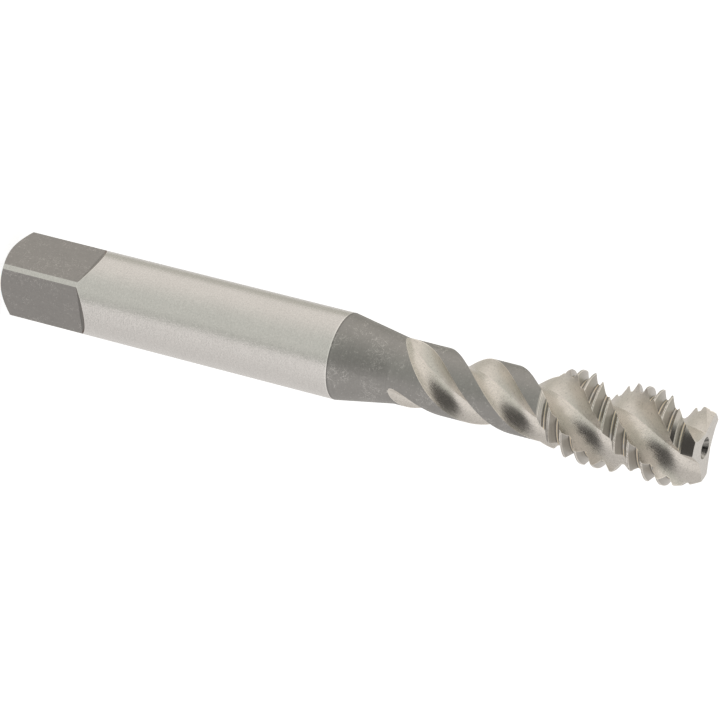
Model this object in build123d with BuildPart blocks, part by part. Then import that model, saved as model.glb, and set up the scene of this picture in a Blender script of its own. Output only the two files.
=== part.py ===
from build123d import *
import math
import os

# A machine tap with three right-hand spiral flutes, ground from one steel bar.
# It stands on its shank end, which is at the origin, with the cutting tip up along Z.
# Sizes are in millimetres and degrees. Turns are measured about the axis from X, seen from the tip.

# Bar and shank
overall_length = 69.07
shank_diameter = 8.077
shank_length = 34.47
shank_end_chamfer = 0.62
shank_end_chamfer_angle = 30.0

# Drive square
square_across_flats = 6.045
square_length = 8.46
square_run_out_angle = 43.0

# Neck
shank_cone_angle = 10.1
neck_diameter = 6.08

# Thread
thread_pitch = 1.25
thread_major_diameter = 8.10
thread_depth = 0.72
thread_flank_angle = 60.0
thread_length = 14.76
thread_start_cone_angle = 30.0
thread_turn_at_tip = 253.0

# Lead taper, ground over the first teeth
lead_length = 2.52
lead_angle = 18.0

# Flutes: their floor tapers up from the tip and leaves the neck along an arc
flute_count = 3
flute_lead = 20.39
flute_radius = 2.87
flute_turn_at_tip = 303.7
core_diameter_at_tip = 3.0
core_taper_angle = 0.57
flute_exit_angle = 27.0

# Rake face of each first tooth: a flat ground from the tip along the axis, touching the flute's floor
rake_face_length = 1.36
rake_face_turn = 6.7

# Centre holes for grinding between centres
centre_diameter = 2.0
centre_angle = 60.0
pilot_diameter = 1.0
pilot_depth = 1.2

# How far cutters reach past the metal, and how finely a flute's sections follow its twist
cutter_clearance = 0.8
section_turn = 20.0

# Values that follow from the sizes above
shank_radius = shank_diameter / 2
neck_radius = neck_diameter / 2
major_radius = thread_major_diameter / 2
outer_radius = max(shank_radius, major_radius)
flat_height = square_across_flats / 2


def tangent(angle):
    return math.tan(math.radians(angle))


# Heights of the steps along the bar
end_face_radius = shank_radius - shank_end_chamfer / tangent(shank_end_chamfer_angle)
neck_start = shank_length + (shank_radius - neck_radius) / tangent(shank_cone_angle)
thread_start = overall_length - thread_length
tip_radius = major_radius - lead_length * tangent(lead_angle)
cutter_radius = outer_radius + cutter_clearance

# Thread groove: a flat root and crests an eighth of the pitch wide
flank_slope = tangent(thread_flank_angle / 2)
crest_half_width = (thread_pitch - thread_pitch / 8) / 2
root_half_width = crest_half_width - thread_depth * flank_slope
groove_overlap = thread_pitch / 32
mouth_half_width = crest_half_width + groove_overlap * flank_slope
groove_base = thread_start - thread_pitch
groove_run = overall_length + thread_pitch - groove_base
groove_turn = thread_turn_at_tip - 360 * (overall_length - groove_base) / thread_pitch
bar_length = overall_length + 2 * thread_pitch

# The floor of a flute, as a distance from the axis at a height
taper = math.radians(core_taper_angle)
exit_slope = math.radians(flute_exit_angle)
core_at_exit = core_diameter_at_tip / 2 + (overall_length - neck_start) * math.tan(taper)
exit_arc_radius = (neck_radius - core_at_exit) / (
    math.cos(taper) - math.cos(exit_slope) - (math.sin(exit_slope) - math.sin(taper)) * math.tan(taper)
)
exit_arc_height = neck_start + exit_arc_radius * math.sin(exit_slope)
exit_arc_offset = neck_radius + exit_arc_radius * math.cos(exit_slope)
taper_start = exit_arc_height - exit_arc_radius * math.sin(taper)


def flute_floor(height):
    if height > taper_start:
        return core_diameter_at_tip / 2 + (overall_length - height) * math.tan(taper)
    return exit_arc_offset - math.sqrt(exit_arc_radius**2 - (exit_arc_height - height) ** 2)


def flute_turn(height):
    return flute_turn_at_tip - 360 * (overall_length - height) / flute_lead


with BuildPart() as thread_tap:
    # Turned bar, left long at the tip and full under the neck
    with BuildSketch(Plane.XZ):
        with BuildLine():
            Polyline(
                (0, 0),
                (end_face_radius, 0),
                (shank_radius, shank_end_chamfer),
                (shank_radius, shank_length),
                (major_radius, shank_length),
                (major_radius, bar_length),
                (0, bar_length),
                close=True,
            )
        make_face()
    revolve(axis=Axis.Z)

    # Thread groove, one helical cut from under the start cone to past the tip
    with BuildLine():
        spiral = Helix(pitch=thread_pitch, height=groove_run, radius=major_radius, center=(0, 0, groove_base))
    groove_path = spiral.rotate(Axis.Z, groove_turn)
    groove_plane = Plane(origin=groove_path @ 0, x_dir=(0, 0, 1), z_dir=groove_path % 0)
    with BuildSketch(groove_plane):
        with BuildLine():
            Polyline(
                (-root_half_width, -thread_depth),
                (root_half_width, -thread_depth),
                (mouth_half_width, groove_overlap),
                (-mouth_half_width, groove_overlap),
                close=True,
            )
        make_face()
    sweep(path=groove_path, is_frenet=True, mode=Mode.SUBTRACT)

    # Shank cone, neck and thread start cone
    with BuildSketch(Plane.XZ):
        with BuildLine():
            Polyline(
                (shank_radius, shank_length),
                (neck_radius, neck_start),
                (neck_radius, thread_start),
                (cutter_radius, thread_start + (cutter_radius - neck_radius) / tangent(thread_start_cone_angle)),
                (cutter_radius, shank_length),
                close=True,
            )
        make_face()
    revolve(axis=Axis.Z, mode=Mode.SUBTRACT)

    # Lead taper and end face
    with BuildSketch(Plane.XZ):
        with BuildLine():
            Polyline(
                (0, overall_length),
                (tip_radius, overall_length),
                (cutter_radius, overall_length - (cutter_radius - tip_radius) / tangent(lead_angle)),
                (cutter_radius, bar_length + cutter_clearance),
                (0, bar_length + cutter_clearance),
                close=True,
            )
        make_face()
    revolve(axis=Axis.Z, mode=Mode.SUBTRACT)

    # Drive square, four flats that run out along a slope
    run_out_end = square_length + (cutter_radius - flat_height) / tangent(square_run_out_angle)
    for flat in range(4):
        with BuildSketch(Plane.XZ.rotated((0, 0, 90 * flat))):
            with BuildLine():
                Polyline(
                    (flat_height, -cutter_clearance),
                    (flat_height, square_length),
                    (cutter_radius, run_out_end),
                    (cutter_radius, -cutter_clearance),
                    close=True,
                )
            make_face()
        extrude(amount=cutter_radius, both=True, mode=Mode.SUBTRACT)

    # Centre hole in each end: a cone with a flat-bottomed pilot below it
    centre_cone_depth = (centre_diameter - pilot_diameter) / 2 / tangent(centre_angle / 2)
    for face_height, inward in ((0, 1), (overall_length, -1)):
        with BuildSketch(Plane.XZ):
            with BuildLine():
                Polyline(
                    (0, face_height),
                    (centre_diameter / 2, face_height),
                    (pilot_diameter / 2, face_height + inward * centre_cone_depth),
                    (pilot_diameter / 2, face_height + inward * (centre_cone_depth + pilot_depth)),
                    (0, face_height + inward * (centre_cone_depth + pilot_depth)),
                    close=True,
                )
            make_face()
        revolve(axis=Axis.Z, mode=Mode.SUBTRACT)

    # Flutes, each lofted through round-bottomed sections that turn about the axis
    flute_base = neck_start - cutter_clearance
    flute_top = overall_length + cutter_clearance
    section_count = math.ceil((flute_turn(flute_top) - flute_turn(flute_base)) / section_turn)
    for flute in range(flute_count):
        for section in range(section_count + 1):
            height = flute_base + (flute_top - flute_base) * section / section_count
            turn = flute_turn(height) + 360 * flute / flute_count
            floor = flute_floor(height)
            with BuildSketch(Plane.XY.offset(height).rotated((0, 0, turn))):
                with BuildLine():
                    bottom = ThreePointArc(
                        (floor + flute_radius, flute_radius),
                        (floor, 0),
                        (floor + flute_radius, -flute_radius),
                    )
                    Polyline(
                        bottom @ 1,
                        (floor + 2 * flute_radius, -flute_radius),
                        (floor + 2 * flute_radius, flute_radius),
                        bottom @ 0,
                    )
                make_face()
        loft(mode=Mode.SUBTRACT)

    # Rake faces of the first teeth
    flute_centre = core_diameter_at_tip / 2 + flute_radius
    rake_face_height = flute_centre * math.cos(math.radians(rake_face_turn)) - flute_radius
    rake_face_side = flute_centre * math.sin(math.radians(rake_face_turn))
    for flute in range(flute_count):
        turn = flute_turn_at_tip + rake_face_turn + 360 * flute / flute_count
        with BuildSketch(Plane.XY.offset(overall_length).rotated((0, 0, turn))):
            with BuildLine():
                Polyline(
                    (rake_face_height, -rake_face_side),
                    (rake_face_height, -cutter_radius),
                    (cutter_radius, -cutter_radius),
                    (cutter_radius, -rake_face_side),
                    close=True,
                )
            make_face()
        extrude(amount=-rake_face_length, mode=Mode.SUBTRACT)

thread_tap.part.label = "thread_tap"
os.makedirs("parts", exist_ok=True)
export_step(thread_tap.part, "parts/thread_tap.step")
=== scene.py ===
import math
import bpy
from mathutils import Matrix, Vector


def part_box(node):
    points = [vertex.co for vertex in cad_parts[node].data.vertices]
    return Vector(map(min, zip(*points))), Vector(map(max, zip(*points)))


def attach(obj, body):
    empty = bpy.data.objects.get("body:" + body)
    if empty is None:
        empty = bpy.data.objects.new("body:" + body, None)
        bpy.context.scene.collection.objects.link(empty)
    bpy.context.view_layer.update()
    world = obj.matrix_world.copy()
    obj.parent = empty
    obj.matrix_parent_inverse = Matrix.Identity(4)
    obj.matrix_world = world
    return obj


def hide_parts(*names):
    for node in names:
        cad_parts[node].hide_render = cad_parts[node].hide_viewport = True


bl_info = {
    "name": "Thread tap",
    "version": (1, 0, 0),
    "blender": (4, 5, 0),
    "location": "3D View > Sidebar > Thread tap",
    "description": "Builds a spiral flute thread tap with its ground finishes, and the studio it stands in",
    "category": "Object",
}

from types import SimpleNamespace

import bpy
import numpy as np
from bpy.props import FloatProperty, FloatVectorProperty, PointerProperty
from mathutils import Euler, Matrix, Vector

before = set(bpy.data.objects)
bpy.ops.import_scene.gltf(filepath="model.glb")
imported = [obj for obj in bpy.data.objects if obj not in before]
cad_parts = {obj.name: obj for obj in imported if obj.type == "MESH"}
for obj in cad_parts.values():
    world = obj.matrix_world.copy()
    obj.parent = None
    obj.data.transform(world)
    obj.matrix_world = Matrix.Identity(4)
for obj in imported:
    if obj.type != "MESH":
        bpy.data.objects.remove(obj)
bar_low, bar_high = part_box("thread_tap")

# Shapes are worked out in millimetres and degrees, and made in metres
MM = 1000

# The regions of the tap's skin, in the order of its material slots
SHANK, FLATS, NECK, FLUTES, THREAD, ENDS = range(6)

FLAT_COUNT = 4
FLAT_SPACING = 360 / FLAT_COUNT
FLUTE_COUNT = 3
FLUTE_SPACING = 360 / FLUTE_COUNT

# How finely the skin is divided round the tap
FLAT_COLUMNS = 24
CORNER_COLUMNS = 3
LAND_COLUMNS = 36
RAKE_FACE_COLUMNS = 4
CUTTING_SIDE_COLUMNS = 8
HEEL_SIDE_COLUMNS = 12

# How finely it is divided along the tap
HOLE_RINGS = 3
FACE_RINGS = 3
CHAMFER_RINGS = 4
FLAT_RINGS = 12
RUN_OUT_RINGS = 6
SHANK_RINGS = 16
CONE_RINGS = 8
NECK_ROWS = 44

# Rows of the thread in 48ths of a pitch: a root up to 5 and from 43, a crest from 21 to 27
PROFILE_PARTS = 48
PROFILE_STOPS = (5, 11, 21, 27, 37, 43, 53)
SHORT_STRETCH = 8

# Passes after which the edges of flutes and lands have settled
EDGE_PASSES = 6
LAND_PASSES = 12

# A ring on a pilot's flat bottom, as a share of its radius
PILOT_RING = 0.6

# Millimetres to the nearest edge where there is none near
FAR_FROM_EDGE = 9.0

# How much its slant draws out a flute's grinding lines
FLUTE_SLANT = 1.5

# How far the patterns of two flutes lie apart
PATTERN_GAP = 60

SHARP_EDGE = math.radians(14)

# The side of the tap that faces the camera, about the axis from X
CAMERA_SIDE = math.radians(228.5)


class TapSizes(bpy.types.PropertyGroup):
    overall_length: FloatProperty(
        name="Overall length",
        description="From the shank's end face to the cutting tip",
        default=bar_high[2] - bar_low[2],
        unit="LENGTH",
    )
    shank_diameter: FloatProperty(
        name="Shank diameter", description="Ground round of the shank", default=0.008077, unit="LENGTH"
    )
    shank_length: FloatProperty(
        name="Shank length", description="From the end face to the cone", default=0.03447, unit="LENGTH"
    )
    end_chamfer: FloatProperty(
        name="End chamfer", description="Length of the chamfer at the end", default=0.00062, unit="LENGTH"
    )
    end_chamfer_angle: FloatProperty(
        name="End chamfer angle", description="Its slope", default=math.radians(30), subtype="ANGLE"
    )
    across_flats: FloatProperty(
        name="Across flats", description="Width of the drive square", default=0.006045, unit="LENGTH"
    )
    square_length: FloatProperty(
        name="Square length", description="From the end face to the run-outs", default=0.00846, unit="LENGTH"
    )
    run_out_angle: FloatProperty(
        name="Run-out angle", description="Slope ending each flat", default=math.radians(43), subtype="ANGLE"
    )
    cone_angle: FloatProperty(
        name="Cone angle", description="Slope from shank to neck", default=math.radians(10.1), subtype="ANGLE"
    )
    neck_diameter: FloatProperty(
        name="Neck diameter", description="Turned neck behind the thread", default=0.00608, unit="LENGTH"
    )
    pitch: FloatProperty(
        name="Thread pitch", description="Distance between crests", default=0.00125, unit="LENGTH"
    )
    major_diameter: FloatProperty(
        name="Major diameter", description="Over the thread's crests", default=0.0081, unit="LENGTH"
    )
    root_diameter: FloatProperty(
        name="Root diameter", description="Between the thread's roots", default=0.00666, unit="LENGTH"
    )
    thread_length: FloatProperty(
        name="Thread length", description="From the tip to the start cone", default=0.01476, unit="LENGTH"
    )
    start_cone_angle: FloatProperty(
        name="Start cone angle", description="Slope to the thread", default=math.radians(30), subtype="ANGLE"
    )
    thread_turn: FloatProperty(
        name="Thread turn", description="Groove's turn at the tip", default=math.radians(253), subtype="ANGLE"
    )
    lead_length: FloatProperty(
        name="Lead length", description="Length of the tapered cutting teeth", default=0.00252, unit="LENGTH"
    )
    lead_angle: FloatProperty(
        name="Lead angle", description="Slope of the tapered teeth", default=math.radians(18), subtype="ANGLE"
    )
    flute_lead: FloatProperty(
        name="Flute lead", description="Height of one full turn of a flute", default=0.02039, unit="LENGTH"
    )
    flute_radius: FloatProperty(
        name="Flute radius", description="Radius of a flute's round bottom", default=0.00287, unit="LENGTH"
    )
    flute_turn: FloatProperty(
        name="Flute turn", description="Flute's turn at the tip", default=math.radians(303.7), subtype="ANGLE"
    )
    core_diameter: FloatProperty(
        name="Core diameter", description="Metal between the flutes at the tip", default=0.003, unit="LENGTH"
    )
    core_taper: FloatProperty(
        name="Core taper", description="Rise of the flute floors", default=math.radians(0.57), subtype="ANGLE"
    )
    flute_exit_angle: FloatProperty(
        name="Flute exit angle",
        description="Slope at which flutes leave the neck",
        default=math.radians(27),
        subtype="ANGLE",
    )
    rake_face_turn: FloatProperty(
        name="Rake face turn",
        description="How far the first teeth's flat rake faces lean",
        default=math.radians(6.7),
        subtype="ANGLE",
    )
    seam_turn: FloatProperty(
        name="Seam turn",
        description="Where the two grinds of a flute meet, seen from its centre",
        default=math.radians(-4),
        subtype="ANGLE",
    )
    cutting_side_rise: FloatProperty(
        name="Cutting side rise",
        description="How much flatter than round a radian of the cutting side is",
        default=0.00006,
        unit="LENGTH",
    )
    heel_side_rise: FloatProperty(
        name="Heel side rise",
        description="How much flatter than round a radian of the heel side is",
        default=0.00019,
        unit="LENGTH",
    )
    centre_diameter: FloatProperty(
        name="Centre hole diameter", description="Mouth of the centre holes", default=0.002, unit="LENGTH"
    )
    centre_angle: FloatProperty(
        name="Centre hole angle", description="Angle of a cone", default=math.radians(60), subtype="ANGLE"
    )
    pilot_diameter: FloatProperty(
        name="Pilot diameter", description="Drilled pilot under each cone", default=0.001, unit="LENGTH"
    )
    pilot_depth: FloatProperty(
        name="Pilot depth", description="Depth of the pilot below its cone", default=0.0012, unit="LENGTH"
    )


class TapFinish(bpy.types.PropertyGroup):
    shank_colour: FloatVectorProperty(
        name="Shank", description="Bright ground steel", default=(0.70, 0.69, 0.675), subtype="COLOR"
    )
    flat_colour: FloatVectorProperty(
        name="Flats", description="Matt milled steel", default=(0.376, 0.367, 0.358), subtype="COLOR"
    )
    neck_colour: FloatVectorProperty(
        name="Neck", description="Turned grey steel", default=(0.36, 0.355, 0.345), subtype="COLOR"
    )
    flute_colour: FloatVectorProperty(
        name="Flutes", description="Bright warm steel", default=(0.72, 0.692, 0.648), subtype="COLOR"
    )
    thread_colour: FloatVectorProperty(
        name="Thread", description="Ground steel of the lands", default=(0.58, 0.56, 0.525), subtype="COLOR"
    )
    end_colour: FloatVectorProperty(
        name="End faces", description="Ends and centre holes", default=(0.80, 0.785, 0.75), subtype="COLOR"
    )
    rust_colour: FloatVectorProperty(
        name="Run-out line", description="Line ending each flat", default=(0.42, 0.27, 0.22), subtype="COLOR"
    )
    straw_colour: FloatVectorProperty(
        name="Straw tint", description="Tint in the roots", default=(0.50, 0.40, 0.25), subtype="COLOR"
    )


class StageSettings(bpy.types.PropertyGroup):
    floor_colour: FloatVectorProperty(
        name="Floor", description="Plain pale floor", default=(0.80, 0.82, 0.85), subtype="COLOR"
    )
    floor_size: FloatProperty(name="Floor size", description="Side of the floor", default=4.0, unit="LENGTH")
    floor_glow: FloatProperty(
        name="Floor glow", description="White that the camera alone sees on the floor", default=0.70, min=0.0
    )
    up_turn: FloatProperty(
        name="Up",
        description="The side of the tap that is up in the picture, about its axis from X",
        default=math.radians(172.5),
        subtype="ANGLE",
    )
    table_colour: FloatVectorProperty(
        name="Table light", description="Light from below", default=(0.888, 0.855, 0.825), subtype="COLOR"
    )
    room_colour: FloatVectorProperty(
        name="Room light", description="Dim light in front", default=(0.70, 0.698, 0.647), subtype="COLOR"
    )
    tent_colour: FloatVectorProperty(
        name="Tent light", description="Light from above", default=(0.89, 0.845, 0.79), subtype="COLOR"
    )
    back_colour: FloatVectorProperty(
        name="Back light", description="Light from low behind", default=(0.58, 0.56, 0.50), subtype="COLOR"
    )
    screen_colour: FloatVectorProperty(
        name="Dark screen",
        description="Dark screen in front, which the metal mirrors",
        default=(0.092, 0.088, 0.083),
        subtype="COLOR",
    )
    screen_rise: FloatProperty(
        name="Screen rise",
        description="How far the screen's middle stands above level",
        default=math.radians(39.5),
        subtype="ANGLE",
    )
    screen_shift: FloatProperty(
        name="Screen shift",
        description="How far it stands towards the tip",
        default=math.radians(35),
        subtype="ANGLE",
    )
    screen_roll: FloatProperty(
        name="Screen roll",
        description="How far its wide side turns towards the tip",
        default=math.radians(20),
        subtype="ANGLE",
    )
    screen_width: FloatProperty(
        name="Screen width", description="Half its width, for a distance of one", default=1.118, min=0.01
    )
    screen_height: FloatProperty(
        name="Screen height", description="Half its height, for a distance of one", default=0.5385, min=0.01
    )
    camera_place: FloatVectorProperty(
        name="Camera place",
        description="Where the camera stands",
        default=(-0.188533, -0.213151, 0.152448),
        subtype="TRANSLATION",
        unit="LENGTH",
    )
    camera_turn: FloatVectorProperty(
        name="Camera turn",
        description="How the camera is turned from looking down",
        default=(math.radians(-31.1563), math.radians(-63.7095), math.radians(82.5)),
        subtype="EULER",
        unit="ROTATION",
    )
    focal_length: FloatProperty(
        name="Focal length", description="Lens, in millimetres on a 36 mm sensor", default=171.04, min=1.0
    )


def tap_shape(sizes):
    """The sizes in millimetres and degrees, with the heights and radii that follow from them."""
    tap = SimpleNamespace()
    tap.length = sizes.overall_length * MM
    tap.shank_radius = sizes.shank_diameter * MM / 2
    tap.shank_length = sizes.shank_length * MM
    tap.chamfer_slope = math.tan(sizes.end_chamfer_angle)
    tap.face_radius = tap.shank_radius - sizes.end_chamfer * MM / tap.chamfer_slope
    tap.flat_height = sizes.across_flats * MM / 2
    tap.square_length = sizes.square_length * MM
    tap.run_out_slope = math.tan(sizes.run_out_angle)
    tap.neck_radius = sizes.neck_diameter * MM / 2
    cone_slope = math.tan(sizes.cone_angle)
    tap.neck_start = tap.shank_length + (tap.shank_radius - tap.neck_radius) / cone_slope
    tap.pitch = sizes.pitch * MM
    tap.crest = sizes.major_diameter * MM / 2
    tap.root = sizes.root_diameter * MM / 2
    tap.thread_start = tap.length - sizes.thread_length * MM
    tap.start_slope = math.tan(sizes.start_cone_angle)
    tap.thread_turn = math.degrees(sizes.thread_turn)
    tap.lead_slope = math.tan(sizes.lead_angle)
    tap.tip_radius = tap.crest - sizes.lead_length * MM * tap.lead_slope
    tap.flute_lead = sizes.flute_lead * MM
    tap.flute_radius = sizes.flute_radius * MM
    tap.flute_turn = math.degrees(sizes.flute_turn)
    tap.core = sizes.core_diameter * MM / 2
    tap.core_slope = math.tan(sizes.core_taper)
    tap.rake_turn = math.degrees(sizes.rake_face_turn)
    tap.rake_height = (tap.core + tap.flute_radius) * math.cos(sizes.rake_face_turn) - tap.flute_radius
    tap.seam = sizes.seam_turn
    tap.cutting_rise = sizes.cutting_side_rise * MM
    tap.heel_rise = sizes.heel_side_rise * MM
    tap.mouth = sizes.centre_diameter * MM / 2
    tap.pilot = sizes.pilot_diameter * MM / 2
    tap.centre_depth = (tap.mouth - tap.pilot) / math.tan(sizes.centre_angle / 2)
    tap.pilot_depth = tap.centre_depth + sizes.pilot_depth * MM
    # Flat crests an eighth of the pitch wide, and flanks at 30 degrees down to a flat root
    tap.flank_slope = math.tan(math.radians(30))
    tap.root_half = tap.pitch * 7 / 16 - (tap.crest - tap.root) * tap.flank_slope
    # The arc along which a flute's floor leaves the neck, from the exit slope to the core's taper
    taper = sizes.core_taper
    leave = sizes.flute_exit_angle
    rise = tap.neck_radius - tap.core - (tap.length - tap.neck_start) * tap.core_slope
    tap.arc_radius = rise / (
        math.cos(taper) - math.cos(leave) - (math.sin(leave) - math.sin(taper)) * tap.core_slope
    )
    tap.arc_height = tap.neck_start + tap.arc_radius * math.sin(leave)
    tap.arc_offset = tap.neck_radius + tap.arc_radius * math.cos(leave)
    tap.taper_start = tap.arc_height - tap.arc_radius * math.sin(taper)
    return tap


def parts(count):
    """Equal parts after 0, up to 1."""
    return np.linspace(0, 1, count + 1)[1:]


def around(radius, angle, height):
    """Points from cylinder coordinates, in degrees."""
    radius, angle, height = np.broadcast_arrays(radius, angle, height)
    turn = np.radians(angle)
    return np.stack((radius * np.cos(turn), radius * np.sin(turn), height), axis=-1)


def flute_floor(tap, height):
    """Distance from the axis to a flute's floor."""
    straight = tap.core + (tap.length - height) * tap.core_slope
    depth = np.maximum(tap.arc_radius**2 - (tap.arc_height - height) ** 2, 0)
    return np.where(height > tap.taper_start, straight, tap.arc_offset - np.sqrt(depth))


def flute_turn(tap, height, flute):
    """Angle of a flute's floor about the axis, in degrees."""
    return tap.flute_turn + FLUTE_SPACING * flute - 360 * (tap.length - height) / tap.flute_lead


def groove_offset(tap, height, angle):
    """Distance along the tap from the middle of the nearest thread root."""
    phase = (height - tap.length) / tap.pitch - (angle - tap.thread_turn) / 360
    return (phase - np.round(phase)) * tap.pitch


def land_radius(tap, height, angle):
    """Radius of the thread, the neck and the tapers at a height and an angle."""
    flank = tap.root + (np.abs(groove_offset(tap, height, angle)) - tap.root_half) / tap.flank_slope
    thread = np.clip(flank, tap.root, tap.crest)
    start = tap.neck_radius + (height - tap.thread_start) * tap.start_slope
    lead = tap.tip_radius + (tap.length - height) * tap.lead_slope
    threaded = np.minimum(np.minimum(thread, start), lead)
    return np.where(height < tap.thread_start, tap.neck_radius, threaded)


class Skin:
    """Collects grids of points, and joins them into one closed mesh."""

    def __init__(self):
        self.points = []
        self.ways = []
        self.faces = []
        self.regions = []
        self.count = 0

    def add(self, points, ways, regions):
        """Adds one grid: a point and a way for each crossing, and a region for each cell."""
        rows, columns = points.shape[:2]
        index = self.count + np.arange(rows * columns).reshape(rows, columns)
        cells = np.stack((index[:-1, :-1], index[:-1, 1:], index[1:, 1:], index[1:, :-1]), axis=-1)
        self.points.append(points.reshape(-1, 3))
        self.ways.append(ways.reshape(-1, 3))
        self.faces.append(cells.reshape(-1, 4))
        self.regions.append(np.broadcast_to(regions, cells.shape[:2]).reshape(-1))
        self.count += rows * columns

    def mesh(self, name, closeness=1e-4):
        """Merges points that meet, drops cells that have closed up, and makes the mesh in metres."""
        points = np.concatenate(self.points)
        ways = np.concatenate(self.ways)
        regions = np.concatenate(self.regions)
        keys = np.round(points / closeness).astype(np.int64)
        first, merged = np.unique(keys, axis=0, return_index=True, return_inverse=True)[1:]
        merged = merged.reshape(-1)
        faces = []
        corners = []
        slots = []
        for cell, region in zip(np.concatenate(self.faces), regions):
            face = []
            sources = []
            for corner in cell:
                vertex = int(merged[corner])
                if vertex not in face:
                    face.append(vertex)
                    sources.append(corner)
            if len(face) > 2:
                faces.append(face)
                corners.extend(sources)
                slots.append(int(region))
        data = bpy.data.meshes.new(name)
        data.from_pydata((points[first] / MM).tolist(), [], faces)
        data.polygons.foreach_set("material_index", slots)
        data.shade_smooth()
        data.set_sharp_from_angle(angle=SHARP_EDGE)
        way = data.attributes.new("way", "FLOAT_VECTOR", "CORNER")
        way.data.foreach_set("vector", ways[corners].astype(np.float32).reshape(-1))
        return data


def shank_end(tap, skin):
    """Centre hole, end face, chamfer, drive square and shank, up to the cone."""
    corner = math.degrees(math.acos(tap.flat_height / tap.shank_radius))
    flat_offsets = np.linspace(-corner, corner, FLAT_COLUMNS + 1)
    corner_offsets = np.linspace(corner, FLAT_SPACING - corner, CORNER_COLUMNS + 1)[1:-1]
    side = np.concatenate((flat_offsets, corner_offsets))
    offsets = np.append(np.tile(side, FLAT_COUNT), side[0])
    turns = np.append(np.repeat(np.arange(FLAT_COUNT), len(side)), FLAT_COUNT) * FLAT_SPACING
    angles = turns + offsets
    on_flat = np.abs(offsets) <= corner + 1e-9
    cosine = np.cos(np.radians(offsets))
    flat_radius = np.where(on_flat, tap.flat_height / cosine, tap.shank_radius)
    square_start = (flat_radius - tap.face_radius) * tap.chamfer_slope
    run_out = np.where(on_flat, (tap.shank_radius * cosine - tap.flat_height) / tap.run_out_slope, 0)
    slope_end = tap.square_length + run_out
    # Equal columns at the cone's foot, one of them where a flute leaves the neck
    apex = flute_turn(tap, tap.neck_start, 0)
    step = 360 / (len(angles) - 1)
    equal = apex + step * (np.round((angles[0] - apex) / step) + np.arange(len(angles)))

    rings = []
    bands = []
    borders = []
    no_edge = np.full(len(angles), FAR_FROM_EDGE)

    def ring_at(radius, height, band, angle=angles, border=no_edge):
        rings.append(np.stack(np.broadcast_arrays(radius, angle, height), axis=-1))
        bands.append(band)
        borders.append(border)

    for radius in (0.0, tap.pilot * PILOT_RING, tap.pilot):
        ring_at(radius, tap.pilot_depth, ENDS)
    ring_at(tap.pilot, tap.centre_depth, ENDS)
    for part in parts(HOLE_RINGS):
        ring_at(tap.pilot + (tap.mouth - tap.pilot) * part, tap.centre_depth * (1 - part), ENDS)
    for part in parts(FACE_RINGS):
        ring_at(tap.mouth + (tap.face_radius - tap.mouth) * part, 0.0, ENDS)
    for part in parts(CHAMFER_RINGS):
        height = square_start * part
        ring_at(tap.face_radius + height / tap.chamfer_slope, height, SHANK)
    for part in parts(FLAT_RINGS):
        ring_at(flat_radius, square_start + (tap.square_length - square_start) * part, FLATS)
    for part in parts(RUN_OUT_RINGS):
        height = tap.square_length + run_out * part
        slope = (tap.flat_height + (height - tap.square_length) * tap.run_out_slope) / cosine
        radius = np.where(on_flat, slope, tap.shank_radius)
        ring_at(radius, height, FLATS, border=slope_end - height)
    for part in parts(SHANK_RINGS) ** 2:
        height = slope_end + (tap.shank_length - slope_end) * part
        ring_at(tap.shank_radius, height, SHANK, angles + (equal - angles) * part, height - slope_end)

    grid = np.array(rings)
    points = around(grid[..., 0], grid[..., 1], grid[..., 2])
    regions = np.repeat(np.array(bands[1:])[:, None], len(angles) - 1, axis=1)
    corners = ~(on_flat[:-1] & on_flat[1:])
    regions[(regions == FLATS) & corners[None, :]] = SHANK
    ways = np.stack((grid[..., 1], grid[..., 2], np.array(borders)), axis=-1)
    skin.add(points, ways, regions)


def cutting_rows(tap):
    """Heights at the middle of the lands for each row, and how far each row leans along the thread."""
    per_pitch = 1 - tap.pitch / tap.flute_lead
    middle = (tap.flute_turn + FLUTE_SPACING / 2 - tap.thread_turn) / 360
    profile = []
    for low, high in zip(PROFILE_STOPS, PROFILE_STOPS[1:]):
        pieces = 2 if high - low < SHORT_STRETCH else 4
        profile.extend(low + (high - low) * piece / pieces for piece in range(pieces))
    first_turn = -math.ceil((tap.length - tap.thread_start) / tap.pitch) - 2
    turns = np.arange(first_turn, 2)
    threads = np.sort((turns[:, None] + np.array(profile)[None, :] / PROFILE_PARTS).reshape(-1))
    heights = tap.length + tap.pitch * (threads + middle) / per_pitch
    heights = heights[(heights > tap.thread_start - tap.pitch / 3) & (heights < tap.length + tap.pitch / 2)]
    gap = heights[0] - tap.neck_start
    # Close rows where the flutes leave the neck, wider ones along it
    steps = np.linspace(0, 1, NECK_ROWS + 1)[:-1]
    neck = tap.neck_start + gap * (0.35 * steps + 0.65 * steps**2)
    rows = np.concatenate((neck, heights))
    lean = np.clip((rows - tap.neck_start) / (0.6 * gap), 0, 1)
    return rows, lean * lean * (3 - 2 * lean)


def round_edge(radius, centre, bottom):
    """Angle, seen from a round bottom's centre, at which it reaches a radius about the axis."""
    cosine = (centre**2 + bottom**2 - radius**2) / (2 * centre * bottom)
    return np.arccos(np.clip(cosine, -1, 1))


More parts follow.
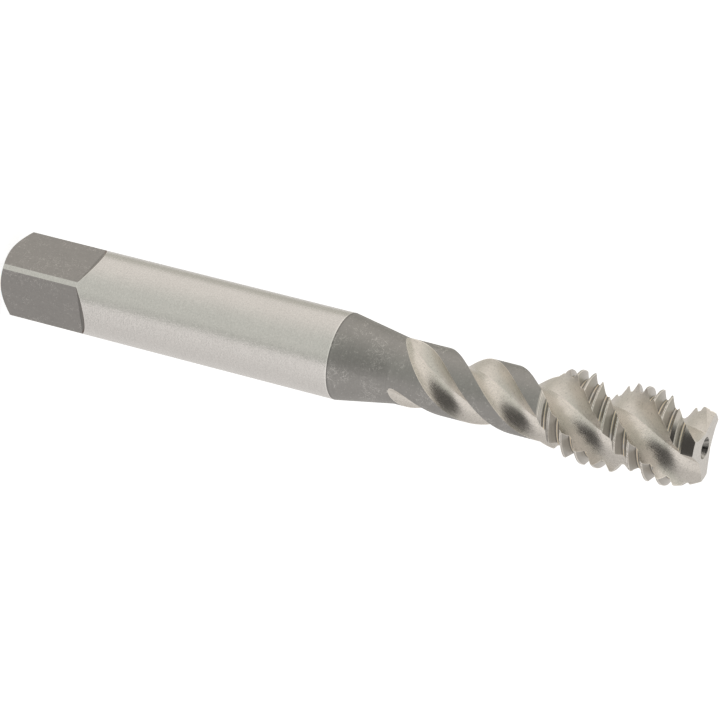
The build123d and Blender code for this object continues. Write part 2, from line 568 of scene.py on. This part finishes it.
def flute_radius(tap, height, swing):
    """Distance from a flute's centre to its skin: a little flatter than round on each side of the seam."""
    centre = flute_floor(tap, height) + tap.flute_radius
    thread_depth = tap.crest - tap.neck_radius
    threaded = np.clip((height - tap.thread_start) / thread_depth * tap.start_slope, 0, 1)
    reach = round_edge(tap.neck_radius + thread_depth * threaded, centre, tap.flute_radius)
    cutting = np.maximum(reach + tap.seam, 1e-3)
    heel = np.maximum(reach - tap.seam, 1e-3)
    on_cutting = np.clip((tap.seam - swing) / cutting, 0, 1)
    on_heel = np.clip((swing - tap.seam) / heel, 0, 1)
    # Flattest halfway to the edge, and on the heel side of the thread a third of the way
    flatter = 4 * tap.cutting_rise * cutting**2 * on_cutting * (1 - on_cutting)
    flatter += 4 * tap.heel_rise * heel**2 * on_heel * (1 - on_heel) * (1 - threaded * on_heel)
    return tap.flute_radius - flatter


def flute_edge(tap, radius, height, side):
    """Angle of a flute's edge on one side, about the axis and about the flute's own centre."""
    centre = flute_floor(tap, height) + tap.flute_radius
    swing = side * round_edge(radius, centre, tap.flute_radius)
    for _ in range(EDGE_PASSES):
        bottom = flute_radius(tap, height, swing)
        swing = side * round_edge(radius, centre, bottom)
    return np.degrees(np.arctan2(bottom * np.sin(swing), centre - bottom * np.cos(swing))), swing


def rake_face_edge(tap, radius, flute):
    """Angle at which the flat rake face of a first tooth reaches a radius."""
    reach = np.degrees(np.arccos(np.clip(tap.rake_height / radius, -1, 1)))
    return tap.flute_turn + FLUTE_SPACING * flute + tap.rake_turn - reach


def flute_bottom(tap, left, right, flute):
    """Points and ways of one flute, from the cutting edge on its left to the heel edge on its right."""
    left_radius, left_angle, left_height = left
    right_radius, _, right_height = right
    round_start, start = flute_edge(tap, left_radius, left_height, -1)
    end = flute_edge(tap, right_radius, right_height, 1)[1]
    # Near the tip the flat rake face takes the place of the flute's own edge
    lean = np.radians(tap.rake_turn + 360 * (tap.length - left_height) / tap.flute_lead)
    centre = flute_floor(tap, left_height) + tap.flute_radius
    meet = (centre * np.cos(lean) - tap.rake_height) / tap.flute_radius
    face = -lean - np.arccos(np.clip(meet, -1, 1))
    on_face = left_angle < flute_turn(tap, left_height, flute) + round_start - 1e-6
    start = np.where(on_face, face, start)
    # The round bottom, with a column along its seam
    seam = np.clip(tap.seam, start, end)
    cutting = np.linspace(0, 1, CUTTING_SIDE_COLUMNS + 1)[None, :]
    heel = parts(HEEL_SIDE_COLUMNS)[None, :]
    swing = np.concatenate((start + (seam - start) * cutting, seam + (end - seam) * heel), axis=1)
    part = np.linspace(0, 1, swing.shape[1])[None, :]
    height = left_height * (1 - part) + right_height * part
    radius = flute_radius(tap, height, swing)
    across = radius * np.sin(swing)
    depth = flute_floor(tap, height) + tap.flute_radius - radius * np.cos(swing)
    turn = flute_turn(tap, height, flute) + np.degrees(np.arctan2(across, depth))
    points = around(np.hypot(depth, across), turn, height)
    # The flat from the cutting edge down to it, which closes up away from the tip
    edge = around(left_radius, left_angle, left_height)
    flat = np.linspace(0, 1, RAKE_FACE_COLUMNS + 1)[None, :-1]
    flat_points = edge * (1 - flat[..., None]) + points[:, :1] * flat[..., None]
    flat_length = np.linalg.norm(edge - points[:, :1], axis=2)
    along = np.concatenate((left_height + 0 * flat, height), axis=1) * FLUTE_SLANT + PATTERN_GAP * flute
    flat_width = start * tap.flute_radius - flat_length * (1 - flat)
    width = np.concatenate((flat_width, swing * tap.flute_radius), axis=1)
    reach = np.minimum(width - width[:, :1], width[:, -1:] - width)
    return np.concatenate((flat_points, points), axis=1), np.stack((along, width, reach), axis=-1)


def find_lands(tap, rows, lean):
    """Radius, angle and height of the crossings on each land between two flutes."""
    middle = rows[:, None]
    lean = lean[:, None] * tap.pitch / 360
    part = np.linspace(0, 1, LAND_COLUMNS + 1)[None, :]
    lands = []
    for land in range(FLUTE_COUNT):
        height = middle + 0 * part
        angle = flute_turn(tap, height, land) + FLUTE_SPACING * part
        for _ in range(LAND_PASSES):
            radius = land_radius(tap, height, angle)
            turn = flute_turn(tap, height, land)
            start = turn + flute_edge(tap, radius, height, 1)[0]
            end = turn + FLUTE_SPACING + flute_edge(tap, radius, height, -1)[0]
            end = np.minimum(end, rake_face_edge(tap, radius, land + 1))
            angle = start + (end - start) * part
            height = middle + lean * (angle - flute_turn(tap, middle, land) - FLUTE_SPACING / 2)
            height = np.clip(height, tap.neck_start, tap.length)
        lands.append((land_radius(tap, height, angle), angle, height))
    return lands


def land_way(tap, radius, angle, height):
    """Millimetres round a land, across the nearest thread root, and in from the nearest edge."""
    part = np.linspace(0, 1, LAND_COLUMNS + 1)[None, :]
    width = np.radians(angle[:, -1:] - angle[:, :1]) * radius
    reach = np.minimum(part, 1 - part) * width
    return np.stack((np.radians(angle) * tap.crest, groove_offset(tap, height, angle), reach), axis=-1)


def cutting_end(tap, skin):
    """Cone, neck, flutes, thread and tip, from the end of the shank."""
    rows, lean = cutting_rows(tap)
    lands = find_lands(tap, rows, lean)
    points = []
    ways = []
    in_flute = []
    for flute in range(FLUTE_COUNT):
        left = lands[flute - 1]
        right = lands[flute]
        turn_back = 360 if flute == 0 else 0
        left_edge = (left[0][:, -1:], left[1][:, -1:] - turn_back, left[2][:, -1:])
        right_edge = tuple(values[:, :1] for values in right)
        flute_points, flute_ways = flute_bottom(tap, left_edge, right_edge, flute)
        points.extend((flute_points, around(*right)))
        ways.extend((flute_ways, land_way(tap, *right)))
        in_flute.extend([True] * flute_points.shape[1] + [False] * (LAND_COLUMNS + 1))
    grid = np.concatenate(points, axis=1)
    # The rows of cells: neck below the start cone, thread above it
    bands = np.where(rows[1:, None] < tap.thread_start + 0.01, NECK, THREAD)
    regions = np.repeat(bands, grid.shape[1] - 1, axis=1)
    regions[:, in_flute[:-1]] = FLUTES
    skin.add(grid, np.concatenate(ways, axis=1), regions)
    neck_cone(tap, skin, grid[:1])
    tip_face(tap, skin, grid[-1])


def neck_cone(tap, skin, foot):
    """Cone from the end of the shank up to the foot of the neck."""
    part = np.linspace(0, 1, CONE_RINGS + 1)[:, None, None]
    scale = (tap.shank_radius + (tap.neck_radius - tap.shank_radius) * part) / tap.neck_radius
    height = tap.shank_length + (tap.neck_start - tap.shank_length) * part
    height = np.broadcast_to(height, (CONE_RINGS + 1, foot.shape[1], 1))
    cone = np.concatenate((foot[..., :2] * scale, height), axis=2)
    turn = np.arctan2(cone[..., 1], cone[..., 0])
    skin.add(cone, np.stack((turn, cone[..., 2], np.full(turn.shape, FAR_FROM_EDGE)), axis=-1), NECK)


def tip_face(tap, skin, rim):
    """End face at the tip, in from its rim, and the centre hole."""
    direction = rim[:, :2] / np.linalg.norm(rim[:, :2], axis=1)[:, None]

    def ring_at(radius, height):
        return np.concatenate((direction * radius, np.full((len(rim), 1), height)), axis=1)

    mouth = ring_at(tap.mouth, tap.length)
    rings = [rim]
    for part in parts(FACE_RINGS):
        rings.append(rim * (1 - part) + mouth * part)
    for part in parts(HOLE_RINGS):
        radius = tap.mouth + (tap.pilot - tap.mouth) * part
        rings.append(ring_at(radius, tap.length - tap.centre_depth * part))
    for radius in (tap.pilot, tap.pilot * PILOT_RING, 0.0):
        rings.append(ring_at(radius, tap.length - tap.pilot_depth))
    grid = np.array(rings)
    no_edge = np.full(grid.shape[:2] + (1,), FAR_FROM_EDGE)
    skin.add(grid, np.concatenate((grid[..., :2], no_edge), axis=2), ENDS)


class Wire:
    """One output of a shader node, on which Python's arithmetic adds Math nodes."""

    def __init__(self, graph, socket):
        self.graph = graph
        self.socket = socket

    def out(self, name):
        return Wire(self.graph, self.socket.node.outputs[name])

    def math(self, operation, *values, clamp=False):
        settings = {"operation": operation, "use_clamp": clamp}
        return self.graph.add("ShaderNodeMath", settings, dict(enumerate((self,) + values)))

    def vector(self, operation, value):
        return self.graph.add("ShaderNodeVectorMath", {"operation": operation}, {0: self, 1: value})

    def __add__(self, other):
        return self.math("ADD", other)

    __radd__ = __add__

    def __sub__(self, other):
        return self.math("SUBTRACT", other)

    def __rsub__(self, other):
        return self.graph.add("ShaderNodeMath", {"operation": "SUBTRACT"}, {0: other, 1: self})

    def __mul__(self, other):
        return self.math("MULTIPLY", other)

    __rmul__ = __mul__

    def __truediv__(self, other):
        return self.math("DIVIDE", other)

    def __pow__(self, other):
        return self.math("POWER", other)

    def __abs__(self):
        return self.math("ABSOLUTE")

    def clamped(self):
        return self.math("ADD", 0.0, clamp=True)

    def step(self, low, high):
        """0 below low and 1 above high, with a smooth rise between; low may be the larger one."""
        settings = {"interpolation_type": "SMOOTHSTEP", "clamp": True}
        return self.graph.add("ShaderNodeMapRange", settings, {0: self, 1: low, 2: high, 3: 0.0, 4: 1.0})

    def stretch(self, x, y, z):
        """A vector scaled along its three directions."""
        return self.vector("MULTIPLY", (x, y, z))

    def moved(self, x, y, z):
        return self.vector("ADD", (x, y, z))

    def dot(self, direction):
        """How far a vector goes in a direction."""
        return self.vector("DOT_PRODUCT", direction).out("Value")

    @property
    def y(self):
        return self.dot((0, 1, 0))

    @property
    def z(self):
        return self.dot((0, 0, 1))

    @property
    def from_axis(self):
        """Distance of a place from the tap's axis."""
        return (self.dot((1, 0, 0)) ** 2 + self.y**2) ** 0.5


class Graph:
    """Adds nodes to one material or world."""

    def __init__(self, tree):
        self.tree = tree
        tree.nodes.clear()

    def add(self, kind, settings=None, inputs=None, output=0):
        """Adds one node: its settings first, then the values or wires of its sockets."""
        node = self.tree.nodes.new(kind)
        for name, value in (settings or {}).items():
            setattr(node, name, value)
        for name, value in (inputs or {}).items():
            if isinstance(value, Wire):
                self.tree.links.new(value.socket, node.inputs[name])
            elif node.inputs[name].type == "RGBA":
                node.inputs[name].default_value = (*value[:3], 1.0)
            else:
                node.inputs[name].default_value = value
        return Wire(self, node.outputs[output]) if len(node.outputs) else None

    def place(self):
        """The point on the tap, in millimetres."""
        return self.add("ShaderNodeTexCoord", output="Object").stretch(MM, MM, MM)

    def way(self):
        """Millimetres along the grinding, across it, and in from the nearest edge."""
        return self.add("ShaderNodeAttribute", {"attribute_name": "way"}, output="Vector")

    def round_bar(self, place, radius):
        """The bar's surface rolled out flat: millimetres round it and along it, with the join at the back."""
        facing = place.dot((math.cos(CAMERA_SIDE), math.sin(CAMERA_SIDE), 0))
        aside = place.dot((-math.sin(CAMERA_SIDE), math.cos(CAMERA_SIDE), 0))
        turn = aside.math("ARCTAN2", facing)
        return self.add("ShaderNodeCombineXYZ", None, {0: turn * radius, 1: place.z})

    def noise(self, vector, scale, detail=2.0, roughness=0.5):
        inputs = {"Vector": vector, "Scale": scale, "Detail": detail, "Roughness": roughness}
        return self.add("ShaderNodeTexNoise", None, inputs)

    def mix(self, factor, low, high):
        """Mixes two colours."""
        settings = {"data_type": "RGBA", "clamp_factor": True}
        return self.add("ShaderNodeMix", settings, {0: factor, 6: low, 7: high}, 2)

    def tint(self, colour, factor):
        """A colour made lighter or darker by a factor."""
        return self.add("ShaderNodeVectorMath", {"operation": "SCALE"}, {0: colour, "Scale": factor})

    def scratches(self, vector, turns, length, width, amount):
        """Fine short scratches in a few directions: 1 on a scratch and 0 beside it."""
        total = 0.0
        for number, turn in enumerate(turns):
            inputs = {"Vector": vector, "Angle": math.radians(turn)}
            spun = self.add("ShaderNodeVectorRotate", {"rotation_type": "Z_AXIS"}, inputs)
            drawn = spun.stretch(1 / length, 1 / width, 1.0).moved(7.0 * number, 0, 0)
            total = total + self.noise(drawn, 1.0, 1.0).step(0.5 + amount, 0.57 + amount)
        return total.clamped()

    def steel(self, colour, roughness, height, strength, distance):
        """Ends a metal's graph with its shader."""
        inputs = {"Strength": strength, "Distance": distance, "Height": height}
        bump = self.add("ShaderNodeBump", None, inputs)
        inputs = {"Base Color": colour, "Metallic": 1.0, "Roughness": roughness, "Normal": bump}
        shader = self.add("ShaderNodeBsdfPrincipled", None, inputs)
        self.add("ShaderNodeOutputMaterial", None, {"Surface": shader})


def new_graph(name):
    material = bpy.data.materials.new(name)
    material.use_nodes = True
    return material, Graph(material.node_tree)


def shank_steel(finish, tap):
    """Bright ground shank: fine lines round the bar and grain, with a crisp painted highlight line where the
    cone starts and a fainter one where the flats' run-outs end.
    """
    material, graph = new_graph("ground_shank")
    place = graph.place()
    rolled = graph.round_bar(place, 4.04)
    rings = graph.noise(rolled.stretch(0.35, 9, 0), 1.0, 3.0, 0.8)
    grain = graph.noise(place, 6.0, 2.0, 0.8)
    specks = graph.noise(place, 5.0, 1.0).step(0.72, 0.80)
    cloud = graph.noise(place, 0.3, 2.0)
    # Painted highlight: the shank made lighter just before the cone's edge
    painted_shoulder_light_and_shade = place.z.step(tap.shank_length - 0.17, tap.shank_length - 0.05)
    # Painted highlight: a light line on the shank where the flats' run-outs end
    rim = graph.way().z.step(0.12, 0.03)
    shade = 0.66 + rings * 0.22 + grain * 0.46 + (cloud - 0.5) * 0.05
    shade = shade - specks * 0.08 + painted_shoulder_light_and_shade * 0.22 + rim * 0.12
    colour = graph.tint(finish.shank_colour, shade)
    roughness = 0.05 + grain * 0.07 + specks * 0.10
    graph.steel(colour, roughness, rings * 0.3 + grain, 1.0, 0.000025)
    return material


def flat_steel(finish, tap):
    """Matt flats: grain, light specks and crossing scratches, a thin reddish line along the run-out, and
    painted light on the run-out slopes.
    """
    material, graph = new_graph("milled_flats")
    place = graph.place()
    rolled = graph.round_bar(place, 4.0)
    border = graph.way().z
    grain = graph.noise(place, 4.5, 4.0, 0.8)
    mill = graph.noise(place.stretch(5, 5, 0.5), 1.0, 3.0, 0.7)
    cloud = graph.noise(place, 0.6, 3.0)
    specks = graph.noise(place, 5.0, 1.0).step(0.66, 0.72)
    marks = graph.scratches(rolled, (12, 55, 105, 150), 0.7, 0.06, 0.14) * cloud.step(0.50, 0.60)
    line = border.step(0.20, 0.08)
    # Painted light: the run-out slopes a little lighter, as their tilt catches more light
    run_out_painted_light = border.step(1.4, 1.3)
    shade = 0.68 + grain * 0.52 + mill * 0.16 + specks * 0.35 + marks * 0.65 + run_out_painted_light * 0.05 - line * 0.4
    colour = graph.tint(graph.mix(line * 0.6, finish.flat_colour, finish.rust_colour), shade)
    graph.steel(colour, 0.42 + grain * 0.2, grain + mill * 0.5 + marks * 0.4, 0.7, 0.00003)
    return material


def neck_steel(finish, tap):
    """Turned grey neck: fine rings, whitish random scratches, and a painted shade line on the cone just under
    the shank.
    """
    material, graph = new_graph("turned_neck")
    place = graph.place()
    rolled = graph.round_bar(place, 3.3)
    rings = graph.noise(rolled.stretch(0.4, 8, 0), 1.0, 3.0, 0.8)
    grain = graph.noise(place, 5.0, 3.0, 0.8)
    cloud = graph.noise(place, 0.5, 3.0)
    specks = graph.noise(place, 5.5, 1.0).step(0.66, 0.73)
    marks = graph.scratches(rolled, (20, 62, 118, 160), 0.7, 0.06, 0.135) * cloud.step(0.50, 0.60)
    # Painted shade: a dark line on the cone just under the shank's edge
    painted_shoulder_light_and_shade = place.z.step(tap.shank_length + 0.19, tap.shank_length + 0.05)
    shade = 0.64 + rings * 0.26 + grain * 0.50 + marks * 0.7 + specks * 0.35 - painted_shoulder_light_and_shade * 0.35
    colour = graph.tint(finish.neck_colour, shade)
    graph.steel(colour, 0.36 + grain * 0.18, rings * 0.5 + grain, 0.7, 0.00003)
    return material


def flute_steel(finish, tap):
    """Bright flutes: fine grinding lines along them, dark pits, a duller cutting side and painted highlights
    along the edges.
    """
    material, graph = new_graph("ground_flutes")
    way = graph.way()
    place = graph.place()
    lines = graph.noise(way.stretch(0.35, 7, 0), 1.0, 4.0, 0.8)
    broad = graph.noise(way.stretch(0.10, 1.6, 0), 1.0, 2.0)
    grain = graph.noise(place, 5.0, 3.0, 0.8)
    pits = graph.noise(place, 6.5, 2.0, 0.6).step(0.60, 0.70)
    # Painted highlight: a light line along each edge of a flute
    edge = way.z.step(0.12, 0.02)
    cutting = way.y.step(-0.20, -0.30)
    shade = 0.68 + lines * 0.26 + (broad - 0.5) * 0.12 + grain * 0.52
    shade = shade - pits * 0.26 + edge * 0.32 - cutting * 0.05
    colour = graph.tint(finish.flute_colour, shade)
    roughness = 0.17 + lines * 0.08 + grain * 0.08 + cutting * 0.12
    graph.steel(colour, roughness, lines + broad * 0.3 + grain * 0.6, 0.8, 0.000013)
    return material


def thread_steel(finish, tap):
    """Thread lands: painted highlights on the land and crest edges, straw tint and painted shade lines in the
    roots, and a bright lead taper.
    """
    material, graph = new_graph("ground_thread")
    place = graph.place()
    way = graph.way()
    groove = abs(way.y)
    grain = graph.noise(place, 5.0, 3.0, 0.8)
    lines = graph.noise(way.stretch(0.4, 12, 0), 1.0, 2.0)
    patches = graph.noise(place, 0.8, 2.0)
    lead_radius = tap.tip_radius + (tap.length - place.z) * tap.lead_slope
    rough_part = 1 - abs(place.from_axis - lead_radius).step(0.06, 0.03)
    # Painted highlight along the edges of the lands
    edge = way.z.step(0.10, 0.02)
    # Painted highlight along both edges of each crest
    rim = groove.step(0.50, 0.54) * groove.step(0.60, 0.56) * rough_part
    # Painted shade: dark lines in the roots beside the flanks
    dark = groove.step(0.04, 0.07) * groove.step(0.17, 0.12) * rough_part
    straw = groove.step(0.055, 0.025) * patches.step(0.30, 0.50) * rough_part
    colour = graph.mix(straw * 0.75, finish.thread_colour, finish.straw_colour)
    shade = 0.74 + lines * 0.18 + grain * 0.28 + patches * 0.08
    shade = shade + rim * 0.62 + edge * 0.38 + straw * 0.25 - dark * 0.6
    roughness = 0.10 + grain * 0.06 + rough_part * 0.16
    relief = (lines + grain) * (rough_part * 0.8 + 0.2)
    graph.steel(graph.tint(colour, shade), roughness, relief, 0.6, 0.000015)
    return material


def end_steel(finish, tap):
    """Ground end faces and drilled centre holes, with painted shade inside the holes, broken into streaks by
    chatter marks.
    """
    material, graph = new_graph("end_faces")
    place = graph.place()
    grain = graph.noise(place, 5.0, 3.0, 0.8)
    cloud = graph.noise(place, 1.0, 2.0)
    pits = graph.noise(place, 6.0, 1.0).step(0.66, 0.74)
    # Painted shade: the centre hole darkened inside its mouth, less so along its chatter streaks
    hole = place.from_axis.step(tap.mouth + 0.02, tap.mouth - 0.04)
    spoke = graph.add("ShaderNodeVectorMath", {"operation": "NORMALIZE"}, {0: place.stretch(1, 1, 0)})
    chatter = graph.noise(spoke, 1.3, 1.0).step(0.46, 0.60)
    shade = 0.68 + grain * 0.60 + cloud * 0.08 - pits * 0.20 - hole * (0.85 - chatter * 0.45)
    colour = graph.tint(finish.end_colour, shade.math("MAXIMUM", 0.06))
    graph.steel(colour, 0.30 + grain * 0.16 - hole * 0.2, grain, 0.6, 0.00003)
    return material


class OBJECT_OT_build_thread_tap(bpy.types.Operator):
    """Build the tap's skin from its sizes, with a ground finish for each region"""

    bl_idname = "object.build_thread_tap"
    bl_label = "Build thread tap"

    def execute(self, context):
        shape = tap_shape(context.scene.tap_sizes)
        finish = context.scene.tap_finish
        skin = Skin()
        shank_end(shape, skin)
        cutting_end(shape, skin)
        mesh = skin.mesh("tap_skin")
        for make in (shank_steel, flat_steel, neck_steel, flute_steel, thread_steel, end_steel):
            mesh.materials.append(make(finish, shape))
        tap = bpy.data.objects.new("tap_body", mesh)
        context.scene.collection.objects.link(tap)
        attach(tap, "root")
        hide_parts("thread_tap")
        return {"FINISHED"}


class SCENE_OT_set_tap_stage(bpy.types.Operator):
    """Set the pale floor, the soft light around the tap, and the camera"""

    bl_idname = "scene.set_tap_stage"
    bl_label = "Set stage"

    def execute(self, context):
        stage = context.scene.tap_stage
        self.lay_floor(context, stage)
        self.light(context, stage)
        self.point_camera(context, stage)
        context.scene.view_settings.view_transform = "Standard"
        return {"FINISHED"}

    def lay_floor(self, context, stage):
        """A plain floor that takes the tap's shadow, and shows white to the camera."""
        half = stage.floor_size / 2
        corners = [(-half, -half, 0), (half, -half, 0), (half, half, 0), (-half, half, 0)]
        mesh = bpy.data.meshes.new("floor")
        mesh.from_pydata(corners, [], [(0, 1, 2, 3)])
        material, graph = new_graph("pale_floor")
        diffuse = graph.add("ShaderNodeBsdfDiffuse", None, {"Color": stage.floor_colour})
        seen = graph.add("ShaderNodeLightPath", output="Is Camera Ray")
        inputs = {"Color": (1, 1, 1), "Strength": stage.floor_glow * seen}
        glow = graph.add("ShaderNodeEmission", None, inputs)
        floor_shader = graph.add("ShaderNodeAddShader", None, {0: diffuse, 1: glow})
        graph.add("ShaderNodeOutputMaterial", None, {"Surface": floor_shader})
        mesh.materials.append(material)
        floor = bpy.data.objects.new("floor", mesh)
        floor.visible_glossy = False
        context.scene.collection.objects.link(floor)

    def light(self, context, stage):
        """Light by direction: bands around the tap, and the dark things that its metal mirrors."""
        world = bpy.data.worlds.new("studio")
        world.use_nodes = True
        context.scene.world = world
        graph = Graph(world.node_tree)
        way = graph.add("ShaderNodeTexCoord", output="Generated")
        up = Vector((math.cos(stage.up_turn), math.sin(stage.up_turn), 0))
        away = Vector((math.sin(stage.up_turn), -math.cos(stage.up_turn), 0))
        # Degrees round the tap: 0 level towards the camera, 90 straight up, -90 straight down
        angle = way.dot(up).math("ARCTAN2", way.dot(-away)) * math.degrees(1)
        colour = self.light_bands(graph, angle, way.z, stage)
        # Shade from low behind the shank end, which the flutes' cutting sides mirror
        shade = way.z.step(-0.50, -0.66) * way.z.step(-0.97, -0.86)
        shade = shade * angle.step(5.0, -25.0) * angle.step(-170.0, -140.0)
        colour = graph.mix(shade * 0.6, colour, stage.screen_colour)
        colour = graph.mix(self.dark_screen(way, up, away, stage), colour, stage.screen_colour)
        light = graph.add("ShaderNodeBackground", None, {"Color": colour, "Strength": 1.0})
        graph.add("ShaderNodeOutputWorld", None, {"Surface": light})

    def light_bands(self, graph, angle, along, stage):
        """Table light from below, a dim line and the room in front, the tent above, and the back."""
        below = tuple(part * 0.88 for part in stage.table_colour)
        tip_side = tuple(part * 0.68 for part in stage.table_colour)
        line = tuple(part * 0.80 for part in stage.room_colour)
        table = graph.mix(angle.step(-75.0, -15.0), below, stage.table_colour)
        table = graph.mix(along.step(0.15, 0.65), table, tip_side)
        table = graph.mix(angle.step(-178.0, -172.0), stage.back_colour, table)
        room = graph.mix(angle.step(12.0, 22.0), line, stage.room_colour)
        front = graph.mix(angle.step(2.0, 5.0), table, room)
        top = graph.mix(angle.step(50.0, 116.0), front, stage.tent_colour)
        return graph.mix(angle.step(146.0, 156.0), top, stage.back_colour)

    def dark_screen(self, way, up, away, stage):
        """1 on an oval screen in front of the tap, and 0 beside it."""
        rise = stage.screen_rise
        shift = stage.screen_shift
        roll = stage.screen_roll
        axis = Vector((0, 0, 1))
        level = math.sin(rise) * up - math.cos(rise) * away
        middle = math.cos(shift) * level + math.sin(shift) * axis
        across = math.cos(rise) * up + math.sin(rise) * away
        along = math.cos(shift) * axis - math.sin(shift) * level
        facing = way.dot(middle).math("MAXIMUM", 0.05)
        wide = way.dot(math.cos(roll) * across + math.sin(roll) * along) / facing
        tall = way.dot(math.cos(roll) * along - math.sin(roll) * across) / facing
        oval = wide * wide / stage.screen_width**2 + tall * tall / stage.screen_height**2
        return oval.step(1.55, 0.35)

    def point_camera(self, context, stage):
        data = bpy.data.cameras.new("camera")
        data.lens = stage.focal_length
        data.clip_start = 0.01
        camera = bpy.data.objects.new("camera", data)
        camera.matrix_world = Matrix.LocRotScale(stage.camera_place, Euler(stage.camera_turn), None)
        context.scene.collection.objects.link(camera)
        context.scene.camera = camera


class VIEW3D_PT_thread_tap(bpy.types.Panel):
    """Sizes, finishes and stage of the thread tap"""

    bl_idname = "VIEW3D_PT_thread_tap"
    bl_label = "Thread tap"
    bl_space_type = "VIEW_3D"
    bl_region_type = "UI"
    bl_category = "Thread tap"

    def draw(self, context):
        for title, group, operator in (
            ("Sizes", context.scene.tap_sizes, None),
            ("Finishes", context.scene.tap_finish, OBJECT_OT_build_thread_tap),
            ("Stage", context.scene.tap_stage, SCENE_OT_set_tap_stage),
        ):
            box = self.layout.box()
            box.label(text=title)
            for name in group.__annotations__:
                box.prop(group, name)
            if operator:
                box.operator(operator.bl_idname)


CLASSES = (
    TapSizes,
    TapFinish,
    StageSettings,
    OBJECT_OT_build_thread_tap,
    SCENE_OT_set_tap_stage,
    VIEW3D_PT_thread_tap,
)


def register():
    for item in CLASSES:
        bpy.utils.register_class(item)
    bpy.types.Scene.tap_sizes = PointerProperty(type=TapSizes)
    bpy.types.Scene.tap_finish = PointerProperty(type=TapFinish)
    bpy.types.Scene.tap_stage = PointerProperty(type=StageSettings)


def unregister():
    del bpy.types.Scene.tap_stage
    del bpy.types.Scene.tap_finish
    del bpy.types.Scene.tap_sizes
    for item in reversed(CLASSES):
        bpy.utils.unregister_class(item)


def main():
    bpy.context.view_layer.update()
    register()
    bpy.ops.scene.set_tap_stage()
    bpy.ops.object.build_thread_tap()


if __name__ == "__main__":
    main()
